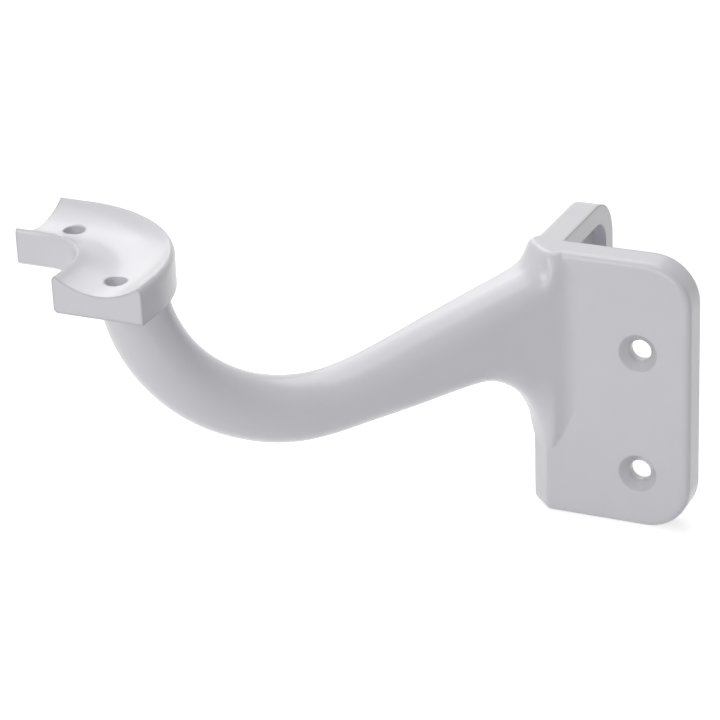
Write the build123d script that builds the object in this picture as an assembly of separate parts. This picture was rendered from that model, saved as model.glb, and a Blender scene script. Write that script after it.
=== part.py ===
"""Corner handrail bracket: one casting, in mm, +Z up.

The post's corner fills x > 0, y > 0, so the L-plate's inner faces lie on x = 0 and y = 0.
The arm leaves the plate's outer corner along the diagonal, and the casting is the same on
both sides of that diagonal. Distances along it, away from the post, are called s below.
"""
from build123d import *
import math
import os

# Rail and its elbow
RAIL_D = 38.1  # handrail tube, 1.5 in
SEAT_CLEARANCE = 0.35  # radial, between tube and seat
RAIL_OFFSET = 77.25  # rail centre line from each face of the post
BEND_R = 28.0  # centre line radius of the rail's elbow

# Saddle
SADDLE_W = 24.5  # across the rail
SADDLE_LEG = 8.0  # straight length past the elbow, each end
SADDLE_BASE_Z = 89.7  # flat underside
SADDLE_T = 9.8  # underside to the narrow land each side of the seat
SEAT_FLOOR = 5.85  # underside to the bottom of the seat
SADDLE_HOLE_D = 5.7
SADDLE_HOLE_IN = 9.9  # hole centre in from each end face
RIM_ROUND = 2.2  # outer top edge
NOTCH_TOP_ROUND = 1.5
NOTCH_FOOT_CHAMFER = 0.8

# L-plate
PLATE_H = 76.6
WING_L = 37.8  # inner corner to wing end
WING_T = 8.35  # rim thickness
WING_CORNER_R = 12.5  # seen from the front
CORNER_CHAMFER = 6.0  # leg of the flat on the outer corner
FRONT_ROUND = 1.8  # front edge all round
CHAMFER_ROUND = 1.8  # both edges of that flat
POCKET_RIM = 5.5  # rim left around the pocket in each back
POCKET_WALL = 4.45  # wall left in front of the pocket
SCREW_HOLE_D = 6.0
COUNTERSINK_D = 10.5
COUNTERSINK_ANGLE = 90.0
SCREW_X = 23.5  # screw line from the inner corner
SCREW_LOW_Z = 15.7
SCREW_PITCH = 35.2

# Arm
ROD_R = 8.75  # round part of the arm
NECK_LEAN = 1.7  # arm's end, inboard of the rail's centre line
NECK_R = 46.5  # centre line radius of the gooseneck
NECK_RISE = 14.6  # degrees past the lowest point
NECK_SINK = 3.8  # arm's end, into the saddle
NECK_SPANS = 6
ROD_FLAT = 0.5  # sliver of flat kept on each side of the round part

# Root, where the arm deepens into the plate
ARM_W = 9.1  # half width
ARM_EDGE_R = 6.5  # long edges
ROOT_BLEND = 6.0  # radius from each side into its wing
FLARE = 0.75  # widening past that radius, inside the plate
SIDE_EASE = 1.3  # how much sooner than the edges the sides reach their full width
ROOT_START_TOP = 59.0
ROOT_START_FOOT = 38.2
CREST_S = 26.0  # where the underside is highest
CREST_Z = 41.8
CREST_EASE = 1.3  # power of the underside's climb to the crest
TOE_Z = 16.0  # where the underside has run down into the corner's flat
TOE_H = 20.0  # height over which the root's lower edges round off at the plate
TOE_EDGES = (16.0, 7.0)  # s where that starts, and where it is full
TOP_H = 9.0  # the same for its upper edges
TOP_EDGES = (13.0, 8.0)
KEEL = 0.6  # half width left flat between those edges
# s, and the share of the climb from the root's start to the plate's top
CLIMB = [
    (44.7, 0.0),
    (37.6, 0.142),
    (30.0, 0.295),
    (24.0, 0.42),
    (19.0, 0.517),
    (15.0, 0.597),
    (12.0, 0.682),
    (9.5, 0.83),
]
# s, and the height past the plate's top, where the root is then cut level
CROWN = [
    (8.0, 0.1936),
    (6.5, 2.0064),
    (5.2, 2.64),
    (4.0, 2.64),
    (3.0, 2.64),
    (2.0, 2.64),
    (1.0, 2.64),
    (0.0, 2.64),
    (-1.0, 2.64),
]

SEAT_R = RAIL_D / 2 + SEAT_CLEARANCE
RAIL_Z = SADDLE_BASE_Z + SEAT_FLOOR + SEAT_R  # rail centre line above the plate's foot
BEND_C = RAIL_OFFSET + BEND_R  # elbow centre, outboard on the diagonal
END_FACE = BEND_C + SADDLE_LEG
INNER_R = BEND_R - SADDLE_W / 2
OUTER_R = BEND_R + SADDLE_W / 2
ELBOW_S = BEND_C * math.sqrt(2) - BEND_R  # rail centre line on the diagonal
LAND_Z = SADDLE_BASE_Z + SADDLE_T
CORNER_S = WING_T * math.sqrt(2)  # where the wings' front faces would meet
FLAT_S = CORNER_S - CORNER_CHAMFER / math.sqrt(2)
BEYOND = 40.0  # longer than any cut needs


def on_diagonal(s, z, lateral=0.0):
    """Point at s along the diagonal and to one side of it."""
    d = math.sqrt(0.5)
    return Vector(-s * d + lateral * d, -s * d - lateral * d, z)


def section(s, z, slope, half_w, half_h, top, foot):
    """Slice across the arm with elliptical corners, each a (width, height).

    Slope is the arm's direction there, in degrees from -s. The slice's y points down.
    """
    a = math.radians(slope)
    normal = on_diagonal(-math.cos(a), math.sin(a))
    plane = Plane(origin=on_diagonal(s, z), x_dir=on_diagonal(0, 0, 1), z_dir=normal)
    side, high = half_w - top[0], top[1] - half_h
    keel, low = half_w - foot[0], half_h - foot[1]
    outline = [
        Line((-side, -half_h), (side, -half_h)),
        EllipticalCenterArc((side, high), *top, -90, arc_size=90),
        Line((half_w, high), (half_w, low)),
        EllipticalCenterArc((keel, low), *foot, 0, arc_size=90),
        Line((keel, half_h), (-keel, half_h)),
        EllipticalCenterArc((-keel, low), *foot, 90, arc_size=90),
        Line((-half_w, low), (-half_w, high)),
        EllipticalCenterArc((-side, high), *top, 180, arc_size=90),
    ]
    return plane * make_face(Wire(outline))


def rod_section(s, z, slope):
    """Slice of the round part."""
    corner = (ROD_R - ROD_FLAT / 2, ROD_R - ROD_FLAT / 2)
    return section(s, z, slope, ROD_R, ROD_R, corner, corner)


def share(s, start, end):
    """0 before start, 1 past end, even between them."""
    return min(1.0, max(0.0, (start - s) / (start - end)))


def root_foot(s):
    """Height of the root's underside: a gentle climb to the crest, then a quarter ellipse."""
    if s > CREST_S:
        back = (s - CREST_S) / (CLIMB[0][0] - CREST_S)
        return CREST_Z - (CREST_Z - ROOT_START_FOOT) * back**CREST_EASE
    down = min(1.0, (CREST_S - s) / (CREST_S - FLAT_S))
    return TOE_Z + (CREST_Z - TOE_Z) * math.sqrt(1 - down**2)


def root_half_width(s, grow):
    """Half width of the root, flared into both wings by the blend."""
    tangent = CORNER_S - ARM_W + ROOT_BLEND * math.tan(math.radians(22.5))
    into = tangent - s
    if into <= 0:
        return ROD_R + (ARM_W - ROD_R) * min(1.0, SIDE_EASE * grow)
    sink = min(into, ROOT_BLEND * math.sqrt(0.5))
    arc = ROOT_BLEND - math.sqrt(ROOT_BLEND**2 - sink**2)
    return ARM_W + arc + FLARE * (into - sink)


def root_section(s, top_z):
    first, last = CLIMB[0][0], CROWN[-1][0]
    grow = (first - s) / (first - last)
    foot_z = root_foot(s)
    rise = NECK_RISE * max(0.0, 1 - 2 * grow)
    half_w = root_half_width(s, grow)
    half_h = (top_z - foot_z) / 2 * math.cos(math.radians(rise))
    edge = ROD_R - ROD_FLAT + (ARM_EDGE_R - ROD_R + ROD_FLAT) * grow
    full = half_w - KEEL
    up = share(s, *TOP_EDGES)
    down = share(s, *TOE_EDGES)
    top = (edge + (full - edge) * up, edge + (TOP_H - edge) * up)
    foot = (edge + (full - edge) * down, edge + (TOE_H - edge) * down)
    return section(s, (top_z + foot_z) / 2, rise, half_w, half_h, top, foot)


def off_rail(x, y):
    """Distance from the rail's centre line in plan, positive towards the post."""
    if y < -BEND_C:
        return x + RAIL_OFFSET
    if x < -BEND_C:
        return y + RAIL_OFFSET
    return math.hypot(x + BEND_C, y + BEND_C) - BEND_R


def wall_edges(body, off, z):
    """Level edges of the saddle at a height and at a distance from the rail's centre line."""
    found = []
    for edge in body.edges():
        mid = edge.position_at(0.5)
        if abs(mid.Z - z) < 0.01 and abs(off_rail(mid.X, mid.Y) - off) < 0.01:
            found.append(edge)
    return found


def make_saddle():
    half = SADDLE_W / 2
    leg_mid = BEND_C + SADDLE_LEG / 2
    ring = Circle(OUTER_R) - Circle(INNER_R)
    quarter = Pos(OUTER_R / 2, OUTER_R / 2) * Rectangle(OUTER_R, OUTER_R)
    outline = Pos(-BEND_C, -BEND_C) * (ring & quarter)
    outline += Pos(-RAIL_OFFSET, -leg_mid) * Rectangle(SADDLE_W, SADDLE_LEG)
    outline += Pos(-leg_mid, -RAIL_OFFSET) * Rectangle(SADDLE_LEG, SADDLE_W)
    body = extrude(Pos(0, 0, SADDLE_BASE_Z) * outline, LAND_Z - SADDLE_BASE_Z)
    body = fillet(wall_edges(body, half, LAND_Z), RIM_ROUND)
    body = fillet(wall_edges(body, -half, LAND_Z), NOTCH_TOP_ROUND)
    body = chamfer(wall_edges(body, -half, SADDLE_BASE_Z), NOTCH_FOOT_CHAMFER)
    elbow = revolve(Plane.XZ * Pos(BEND_R, 0) * Circle(SEAT_R), Axis.Z, 90)
    body -= Pos(-BEND_C, -BEND_C, RAIL_Z) * elbow
    run = 2 * SADDLE_LEG
    near = Pos(-RAIL_OFFSET, -BEND_C - run / 2, RAIL_Z) * Rot(90, 0, 0) * Cylinder(SEAT_R, run)
    far = Pos(-BEND_C - run / 2, -RAIL_OFFSET, RAIL_Z) * Rot(0, 90, 0) * Cylinder(SEAT_R, run)
    return body - near - far


def make_plate():
    c = CORNER_CHAMFER
    t = WING_T
    w = WING_L
    corners = [(0, 0), (w, 0), (w, -t), (c - t, -t), (-t, c - t), (-t, w), (0, w)]
    body = extrude(make_face(Polyline(*corners, close=True)), PLATE_H)
    ends = [e for e in body.edges() if abs(e.tangent_at(0.5).Z) < 0.01]
    ends = [e for e in ends if max(e.position_at(0.5).X, e.position_at(0.5).Y) > w - 0.01]
    ends = [e for e in ends if e.length < t + 0.01]
    return fillet(ends, WING_CORNER_R)


def make_arm():
    """Round gooseneck that grows into a tall, flat-sided root."""
    neck_s = ELBOW_S - NECK_LEAN - NECK_R
    low_z = SADDLE_BASE_Z - NECK_R
    profiles = [rod_section(neck_s + NECK_R, SADDLE_BASE_Z + NECK_SINK, -90)]
    for i in range(NECK_SPANS + 1):
        turn = i * (90 + NECK_RISE) / NECK_SPANS
        a = math.radians(turn)
        s = neck_s + NECK_R * math.cos(a)
        z = low_z + NECK_R * (1 - math.sin(a))
        profiles.append(rod_section(s, z, turn - 90))
    for s, climb in CLIMB:
        profiles.append(root_section(s, ROOT_START_TOP + (PLATE_H - ROOT_START_TOP) * climb))
    for s, past in CROWN:
        profiles.append(root_section(s, PLATE_H + past))
    arm = loft(profiles)
    half = BEYOND / 2
    post = Pos(half, half, PLATE_H / 2) * Box(BEYOND, BEYOND, 2 * PLATE_H)
    above = Pos(0, 0, PLATE_H + half) * Box(BEYOND, BEYOND, BEYOND)
    return arm - post - above


def chamfer_edges(body):
    """The two upright edges of the outer corner's flat, below the arm."""
    upright = body.edges().filter_by(Axis.Z)
    return [e for e in upright if e.center().X < -1 and e.center().Y < -1]


def rim_edges(body):
    """Front edge of both wings, and its run round the outer corner at top and foot."""
    found = []
    for edge in body.edges():
        mid = edge.position_at(0.5)
        flat = abs(edge.tangent_at(0.5).Z) < 0.01
        level = flat and min(abs(mid.Z), abs(mid.Z - PLATE_H)) < 0.01
        outer = min(mid.X, mid.Y)
        past = max(mid.X, mid.Y) > WING_L - WING_CORNER_R
        if level and outer < -0.6 * WING_T:
            found.append(edge)
        elif past and abs(outer + WING_T) < 0.01:
            found.append(edge)
    return found


def wing_cuts():
    """Pocket and countersunk holes of the near wing, whose back is y = 0."""
    wide = WING_L - 2 * POCKET_RIM
    tall = PLATE_H - 2 * POCKET_RIM
    deep = WING_T - POCKET_WALL
    shape = RectangleRounded(wide, tall, WING_CORNER_R - POCKET_RIM)
    back = Plane(origin=(WING_L / 2, 0, PLATE_H / 2), x_dir=(1, 0, 0), z_dir=(0, -1, 0))
    cuts = extrude(back * shape, deep)
    sink = (COUNTERSINK_D - SCREW_HOLE_D) / 2 / math.tan(math.radians(COUNTERSINK_ANGLE / 2))
    for z in (SCREW_LOW_Z, SCREW_LOW_Z + SCREW_PITCH):
        turned = Rot(90, 0, 0)
        cuts += Pos(SCREW_X, -WING_T / 2, z) * turned * Cylinder(SCREW_HOLE_D / 2, WING_T)
        cone = Cone(SCREW_HOLE_D / 2, COUNTERSINK_D / 2, sink)
        cuts += Pos(SCREW_X, sink / 2 - WING_T, z) * turned * cone
    return cuts


def make_bracket():
    body = make_plate() + make_arm()
    body = fillet(chamfer_edges(body), CHAMFER_ROUND)
    body = fillet(rim_edges(body), FRONT_ROUND)
    cuts = wing_cuts()
    body -= cuts
    body -= mirror(cuts, about=Plane(origin=(0, 0, 0), z_dir=(1, -1, 0)))
    body += make_saddle()
    hole_y = SADDLE_HOLE_IN - END_FACE
    for x, y in ((-RAIL_OFFSET, hole_y), (hole_y, -RAIL_OFFSET)):
        body -= Pos(x, y, SADDLE_BASE_Z) * Cylinder(SADDLE_HOLE_D / 2, BEYOND)
    return body


bracket = make_bracket()
os.makedirs("parts", exist_ok=True)
export_step(bracket, "parts/bracket_casting.step")
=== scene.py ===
"""Corner handrail bracket: one casting in white powder coat, on a white studio floor."""

import math

import bmesh
import bpy
from bpy.props import FloatProperty, FloatVectorProperty, PointerProperty
from mathutils import Matrix, Vector


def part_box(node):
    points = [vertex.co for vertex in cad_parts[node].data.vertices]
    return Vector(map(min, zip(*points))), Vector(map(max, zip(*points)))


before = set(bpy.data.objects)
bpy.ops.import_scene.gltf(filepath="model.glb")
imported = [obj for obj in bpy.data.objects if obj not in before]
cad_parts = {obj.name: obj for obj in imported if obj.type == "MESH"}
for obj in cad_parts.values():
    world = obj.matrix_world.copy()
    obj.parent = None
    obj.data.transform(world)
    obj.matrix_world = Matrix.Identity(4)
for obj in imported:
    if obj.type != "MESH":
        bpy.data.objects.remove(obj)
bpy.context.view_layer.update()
CASTING = "bracket_casting"
LOW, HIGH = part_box(CASTING)
IMAGE_WIDTH = 720  # pixels, square picture
SENSOR_WIDTH = 36.0  # millimetres
NEAR_CLIP = 0.01
AIM_HEIGHT = 0.0556  # point on the plate's inner corner that the camera is aimed by
AIM_PIXEL = (564.78, 313.45)  # where it shows in the picture

SCREW_LINE = 0.0235  # screws' distance from the plate's inner corner
SCREW_LOW = 0.0157  # height of the lower screws
SCREW_PITCH = 0.0352
SINK_RADIUS = 0.0053
SINK_END = -0.0058  # the countersinks' inner end, across the wing; its back is at 0

RIPPLE_DETAIL = 2.0
RIPPLE_ROUGHNESS = 0.4
SWELL = 0.12  # broad waves to each ripple of the coat
SWELL_DETAIL = 1.0
SWELL_DEPTH = 3.0  # how much deeper those waves are than the ripple
NOISE_MEAN = 0.5
THIN_TONE = 0.965  # brightness of the coat where it dried thinnest
ROUGHNESS_SWING = 0.08
SKIN_ROUGHNESS = 0.16  # of the clear skin over the pigment
PIGMENT_IOR = 1.5
EDGE_SAMPLES = 6
OBJECT_PLACE = 3  # output of a Texture Coordinate node
COLOR_A, COLOR_B = 6, 7  # inputs of a Mix node that mixes colours
COLOR_MIX = 2  # its output

WHITE = (1.0, 1.0, 1.0, 1.0)
HIGH_PLACE = (-0.1, -0.1, 1.6)
HIGH_SIZE = 0.8
BACK_PLACE = (-0.4, 0.7, 1.2)
BACK_SIZE = 1.2
LEFT_PLACE = (-0.9, 0.9, 0.6)
LEFT_SIZE = 0.6
SIDE_PLACE = (-0.6, -1.1, 0.7)
SIDE_SIZE = 0.5
FRONT_PLACE = (0.1, -1.4, 0.5)
FRONT_SIZE = 0.9
FLOOR_HALF = 6.0
FLOOR_COLOR = (0.8, 0.8, 0.8, 1.0)
FLOOR_GLOW = 0.62

bl_info = {
    "name": "Corner Handrail Bracket",
    "version": (1, 0, 0),
    "blender": (4, 5, 0),
    "location": "View3D > Sidebar > Bracket",
    "description": "Coats the bracket's casting and sets up its studio",
    "category": "Object",
}


class CoatSettings(bpy.types.PropertyGroup):
    """White powder coat on the casting."""

    color: FloatVectorProperty(
        name="Color",
        description="Colour of the coat",
        subtype="COLOR",
        size=3,
        min=0.0,
        max=1.0,
        default=(0.80, 0.79, 0.835),
    )
    roughness: FloatProperty(
        name="Roughness",
        description="Roughness of the coat's surface",
        subtype="FACTOR",
        min=0.0,
        max=1.0,
        default=0.35,
    )
    gloss: FloatProperty(
        name="Gloss",
        description="Weight of the clear skin over the pigment",
        subtype="FACTOR",
        min=0.0,
        max=1.0,
        default=0.5,
    )
    peel_size: FloatProperty(
        name="Peel Size",
        description="Distance from one ripple of the coat to the next",
        unit="LENGTH",
        subtype="DISTANCE",
        default=0.0016,
    )
    peel_depth: FloatProperty(
        name="Peel Depth",
        description="Depth of those ripples",
        unit="LENGTH",
        subtype="DISTANCE",
        precision=6,
        default=0.000012,
    )
    # Painted shade in the countersinks, together with their thinner coat: the colour there is
    # multiplied by this.
    sink_shade_and_thin_coat: FloatProperty(
        name="Countersink Tone",
        description="Brightness of the thin coat inside the countersinks",
        subtype="FACTOR",
        min=0.0,
        max=1.0,
        default=0.84,
    )
    edge_round: FloatProperty(
        name="Edge Round",
        description="Radius that the coat gives to an edge",
        unit="LENGTH",
        subtype="DISTANCE",
        precision=5,
        default=0.0013,
    )


class StudioSettings(bpy.types.PropertyGroup):
    """Camera, lamps and floor."""

    azimuth: FloatProperty(
        name="Azimuth",
        description="Camera's turn round the object from straight in front",
        unit="ROTATION",
        subtype="ANGLE",
        default=math.radians(25.058),
    )
    elevation: FloatProperty(
        name="Elevation",
        description="Camera's height above level",
        unit="ROTATION",
        subtype="ANGLE",
        default=math.radians(24.418),
    )
    roll: FloatProperty(
        name="Roll",
        description="Camera's lean",
        unit="ROTATION",
        subtype="ANGLE",
        default=math.radians(-2.308),
    )
    distance: FloatProperty(
        name="Distance",
        description="From the camera to the point that it is aimed by",
        unit="LENGTH",
        subtype="DISTANCE",
        default=0.80613,
    )
    focal_pixels: FloatProperty(
        name="Focal Length",
        description="Focal length in pixels of the picture",
        subtype="PIXEL",
        default=3016.0,
    )
    white: FloatProperty(
        name="White",
        description="Brightness of the empty background",
        min=0.0,
        default=1.0,
    )
    sky: FloatProperty(
        name="Sky",
        description="Strength of the light from all round",
        min=0.0,
        default=0.19,
    )
    high_power: FloatProperty(
        name="High",
        description="Power of the lamp straight overhead",
        unit="POWER",
        min=0.0,
        default=3.7,
    )
    back_power: FloatProperty(
        name="Back",
        description="Power of the wide lamp above and behind",
        unit="POWER",
        min=0.0,
        default=6.7,
    )
    left_power: FloatProperty(
        name="Left",
        description="Power of the lamp behind and to the left",
        unit="POWER",
        min=0.0,
        default=1.2,
    )
    side_power: FloatProperty(
        name="Side",
        description="Power of the small lamp in front and to the left",
        unit="POWER",
        min=0.0,
        default=2.9,
    )
    front_power: FloatProperty(
        name="Front",
        description="Power of the wide lamp straight in front",
        unit="POWER",
        min=0.0,
        default=4.1,
    )


class Shade:
    """A shader socket that can be used in sums."""

    def __init__(self, material, socket):
        self.material = material
        self.socket = socket

    def _math(self, operation, first, second):
        made = self.material.node(
            "ShaderNodeMath", {"operation": operation}, {0: first, 1: second}
        )
        return made[0]

    def __add__(self, other):
        return self._math("ADD", self, other)

    def __radd__(self, other):
        return self._math("ADD", other, self)

    def __sub__(self, other):
        return self._math("SUBTRACT", self, other)

    def __rsub__(self, other):
        return self._math("SUBTRACT", other, self)

    def __mul__(self, other):
        return self._math("MULTIPLY", self, other)

    def __rmul__(self, other):
        return self._math("MULTIPLY", other, self)

    def __lt__(self, other):
        return self._math("LESS_THAN", self, other)


class Nodes:
    """A node tree that is built one call per node."""

    def __init__(self, owner):
        owner.use_nodes = True
        self.tree = owner.node_tree
        self.tree.nodes.clear()

    def node(self, kind, settings=None, sockets=None):
        """Adds a node, sets its settings, then its sockets; returns its outputs."""
        made = self.tree.nodes.new(kind)
        for name, value in (settings or {}).items():
            setattr(made, name, value)
        for name, value in (sockets or {}).items():
            target = made.inputs[name]
            if isinstance(value, Shade):
                self.tree.links.new(value.socket, target)
            else:
                target.default_value = value
        return [Shade(self, out) for out in made.outputs]


def in_countersinks(nodes, place):
    """1 inside the countersunk holes of both wings, where the colour gets painted shade, and 0
    elsewhere.
    """
    x, y, z = nodes.node("ShaderNodeSeparateXYZ", sockets={"Vector": place})[:3]
    inside = 0.0
    for along, across in ((x, y), (y, x)):
        for height in (SCREW_LOW, SCREW_LOW + SCREW_PITCH):
            side = along - SCREW_LINE
            rise = z - height
            near = side * side + rise * rise < SINK_RADIUS * SINK_RADIUS
            inside = inside + near * (across < SINK_END)
    return inside


def powder_coat(coat):
    """Semi-gloss coat with the faint ripple that it dries to."""
    material = bpy.data.materials.new("white_powder_coat")
    nodes = Nodes(material)
    place = nodes.node("ShaderNodeTexCoord")[OBJECT_PLACE]
    ripple = nodes.node(
        "ShaderNodeTexNoise",
        sockets={
            "Vector": place,
            "Scale": 1 / coat.peel_size,
            "Detail": RIPPLE_DETAIL,
            "Roughness": RIPPLE_ROUGHNESS,
        },
    )[0]
    swell = nodes.node(
        "ShaderNodeTexNoise",
        sockets={"Vector": place, "Scale": SWELL / coat.peel_size, "Detail": SWELL_DETAIL},
    )[0]
    edge = nodes.node("ShaderNodeBevel", {"samples": EDGE_SAMPLES}, {"Radius": coat.edge_round})[0]
    surface = nodes.node(
        "ShaderNodeBump",
        sockets={
            "Height": ripple + SWELL_DEPTH * swell,
            "Distance": coat.peel_depth,
            "Strength": 1.0,
            "Normal": edge,
        },
    )[0]
    full = list(coat.color) + [1.0]
    thin = [channel * THIN_TONE for channel in coat.color] + [1.0]
    # Colour inside the countersinks: painted shade, together with a thinner coat.
    sink_shade_and_thin_color = [channel * coat.sink_shade_and_thin_coat for channel in coat.color] + [1.0]
    plain = nodes.node(
        "ShaderNodeMix",
        {"data_type": "RGBA"},
        {"Factor": swell, COLOR_A: thin, COLOR_B: full},
    )[COLOR_MIX]
    # Painted shade, with the thinner coat, darkens the colour inside the countersinks.
    color = nodes.node(
        "ShaderNodeMix",
        {"data_type": "RGBA"},
        {"Factor": in_countersinks(nodes, place), COLOR_A: plain, COLOR_B: sink_shade_and_thin_color},
    )[COLOR_MIX]
    shader = nodes.node(
        "ShaderNodeBsdfPrincipled",
        sockets={
            "Base Color": color,
            "Roughness": coat.roughness + ROUGHNESS_SWING * (swell - NOISE_MEAN),
            "Coat Weight": coat.gloss,
            "Coat Roughness": SKIN_ROUGHNESS,
            "IOR": PIGMENT_IOR,
            "Normal": surface,
        },
    )[0]
    nodes.node("ShaderNodeOutputMaterial", sockets={"Surface": shader})
    return material


class BRACKET_OT_coat_casting(bpy.types.Operator):
    """Gives the casting its powder coat"""

    bl_idname = "bracket.coat_casting"
    bl_label = "Coat Casting"

    def execute(self, context):
        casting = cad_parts[CASTING]
        material = powder_coat(context.scene.bracket_coat)
        for slot in casting.material_slots:
            slot.material = material
        return {"FINISHED"}


def seen_direct(nodes):
    """1 for rays that show the background: from the camera, off gloss or through glass."""
    path = nodes.node("ShaderNodeLightPath")
    camera, glossy, transmission = path[0], path[3], path[6]
    return camera + glossy + transmission


def studio_floor():
    """White sweep that the object stands on; empty floor shows plain white."""
    mesh = bpy.data.meshes.new("studio_floor")
    form = bmesh.new()
    bmesh.ops.create_grid(form, x_segments=1, y_segments=1, size=FLOOR_HALF)
    form.to_mesh(mesh)
    form.free()
    floor = bpy.data.objects.new("studio_floor", mesh)
    bpy.context.scene.collection.objects.link(floor)
    material = bpy.data.materials.new("studio_white")
    nodes = Nodes(material)
    paint = nodes.node("ShaderNodeBsdfDiffuse", sockets={"Color": FLOOR_COLOR})[0]
    glow = nodes.node("ShaderNodeEmission", sockets={"Color": WHITE, "Strength": FLOOR_GLOW})[0]
    both = nodes.node("ShaderNodeAddShader", sockets={0: paint, 1: glow})[0]
    shown = nodes.node("ShaderNodeMixShader", sockets={0: seen_direct(nodes), 1: paint, 2: both})[0]
    nodes.node("ShaderNodeOutputMaterial", sockets={"Surface": shown})
    mesh.materials.append(material)


def studio_sky(studio):
    """Even light from all round; the camera and reflections see plain white."""
    world = bpy.data.worlds.new("studio_sky")
    bpy.context.scene.world = world
    nodes = Nodes(world)
    light = nodes.node("ShaderNodeBackground", sockets={"Color": WHITE, "Strength": studio.sky})[0]
    white = nodes.node(
        "ShaderNodeBackground", sockets={"Color": WHITE, "Strength": studio.white}
    )[0]
    shown = nodes.node("ShaderNodeMixShader", sockets={0: seen_direct(nodes), 1: light, 2: white})[0]
    nodes.node("ShaderNodeOutputWorld", sockets={"Surface": shown})


def soft_lamp(name, place, size, power):
    """Square area lamp at a place, turned to the middle of the object."""
    aim = (LOW + HIGH) / 2
    lamp = bpy.data.lights.new(name, "AREA")
    lamp.shape = "SQUARE"
    lamp.size = size
    lamp.energy = power
    holder = bpy.data.objects.new(name, lamp)
    turn = (Vector(place) - aim).to_track_quat("Z", "Y")
    holder.matrix_world = Matrix.Translation(place) @ turn.to_matrix().to_4x4()
    bpy.context.scene.collection.objects.link(holder)


def studio_camera(studio):
    """Camera from its turn, height and lean about a point on the plate."""
    az, el = studio.azimuth, studio.elevation
    level = Vector((math.cos(az), math.sin(az), 0.0))
    back = Vector((math.sin(az) * math.cos(el), -math.cos(az) * math.cos(el), math.sin(el)))
    rise = back.cross(level)
    lean = Matrix.Rotation(studio.roll, 3, back)
    right = lean @ level
    up = lean @ rise
    aim = Vector((0.0, 0.0, AIM_HEIGHT))
    scale = studio.distance / studio.focal_pixels
    offset_x = (AIM_PIXEL[0] - IMAGE_WIDTH / 2) * scale
    offset_y = (AIM_PIXEL[1] - IMAGE_WIDTH / 2) * scale
    eye = aim + back * studio.distance - right * offset_x + up * offset_y
    camera = bpy.data.cameras.new("studio_camera")
    camera.sensor_width = SENSOR_WIDTH
    camera.lens = camera.sensor_width * studio.focal_pixels / IMAGE_WIDTH
    camera.clip_start = NEAR_CLIP
    holder = bpy.data.objects.new("studio_camera", camera)
    turned = Matrix((right, up, back)).transposed().to_4x4()
    holder.matrix_world = Matrix.Translation(eye) @ turned
    bpy.context.scene.collection.objects.link(holder)
    bpy.context.scene.camera = holder


class BRACKET_OT_set_stage(bpy.types.Operator):
    """Sets up the floor, the lamps and the camera"""

    bl_idname = "bracket.set_stage"
    bl_label = "Set Stage"

    def execute(self, context):
        studio = context.scene.bracket_studio
        studio_floor()
        studio_sky(studio)
        soft_lamp("high_lamp", HIGH_PLACE, HIGH_SIZE, studio.high_power)
        soft_lamp("back_lamp", BACK_PLACE, BACK_SIZE, studio.back_power)
        soft_lamp("left_lamp", LEFT_PLACE, LEFT_SIZE, studio.left_power)
        soft_lamp("side_lamp", SIDE_PLACE, SIDE_SIZE, studio.side_power)
        soft_lamp("front_lamp", FRONT_PLACE, FRONT_SIZE, studio.front_power)
        studio_camera(studio)
        context.scene.view_settings.view_transform = "Standard"
        return {"FINISHED"}


class BRACKET_PT_panel(bpy.types.Panel):
    """Sizes, colours and steps of the bracket"""

    bl_label = "Bracket"
    bl_idname = "BRACKET_PT_panel"
    bl_space_type = "VIEW_3D"
    bl_region_type = "UI"
    bl_category = "Bracket"

    def draw(self, context):
        for settings in (context.scene.bracket_coat, context.scene.bracket_studio):
            box = self.layout.box()
            for name in settings.__annotations__:
                box.prop(settings, name)
        self.layout.operator(BRACKET_OT_coat_casting.bl_idname)
        self.layout.operator(BRACKET_OT_set_stage.bl_idname)


CLASSES = (
    CoatSettings,
    StudioSettings,
    BRACKET_OT_coat_casting,
    BRACKET_OT_set_stage,
    BRACKET_PT_panel,
)


def register():
    for item in CLASSES:
        bpy.utils.register_class(item)
    bpy.types.Scene.bracket_coat = PointerProperty(type=CoatSettings)
    bpy.types.Scene.bracket_studio = PointerProperty(type=StudioSettings)


def unregister():
    del bpy.types.Scene.bracket_studio
    del bpy.types.Scene.bracket_coat
    for item in reversed(CLASSES):
        bpy.utils.unregister_class(item)


def main():
    register()
    bpy.ops.bracket.coat_casting()
    bpy.ops.bracket.set_stage()


if __name__ == "__main__":
    main()
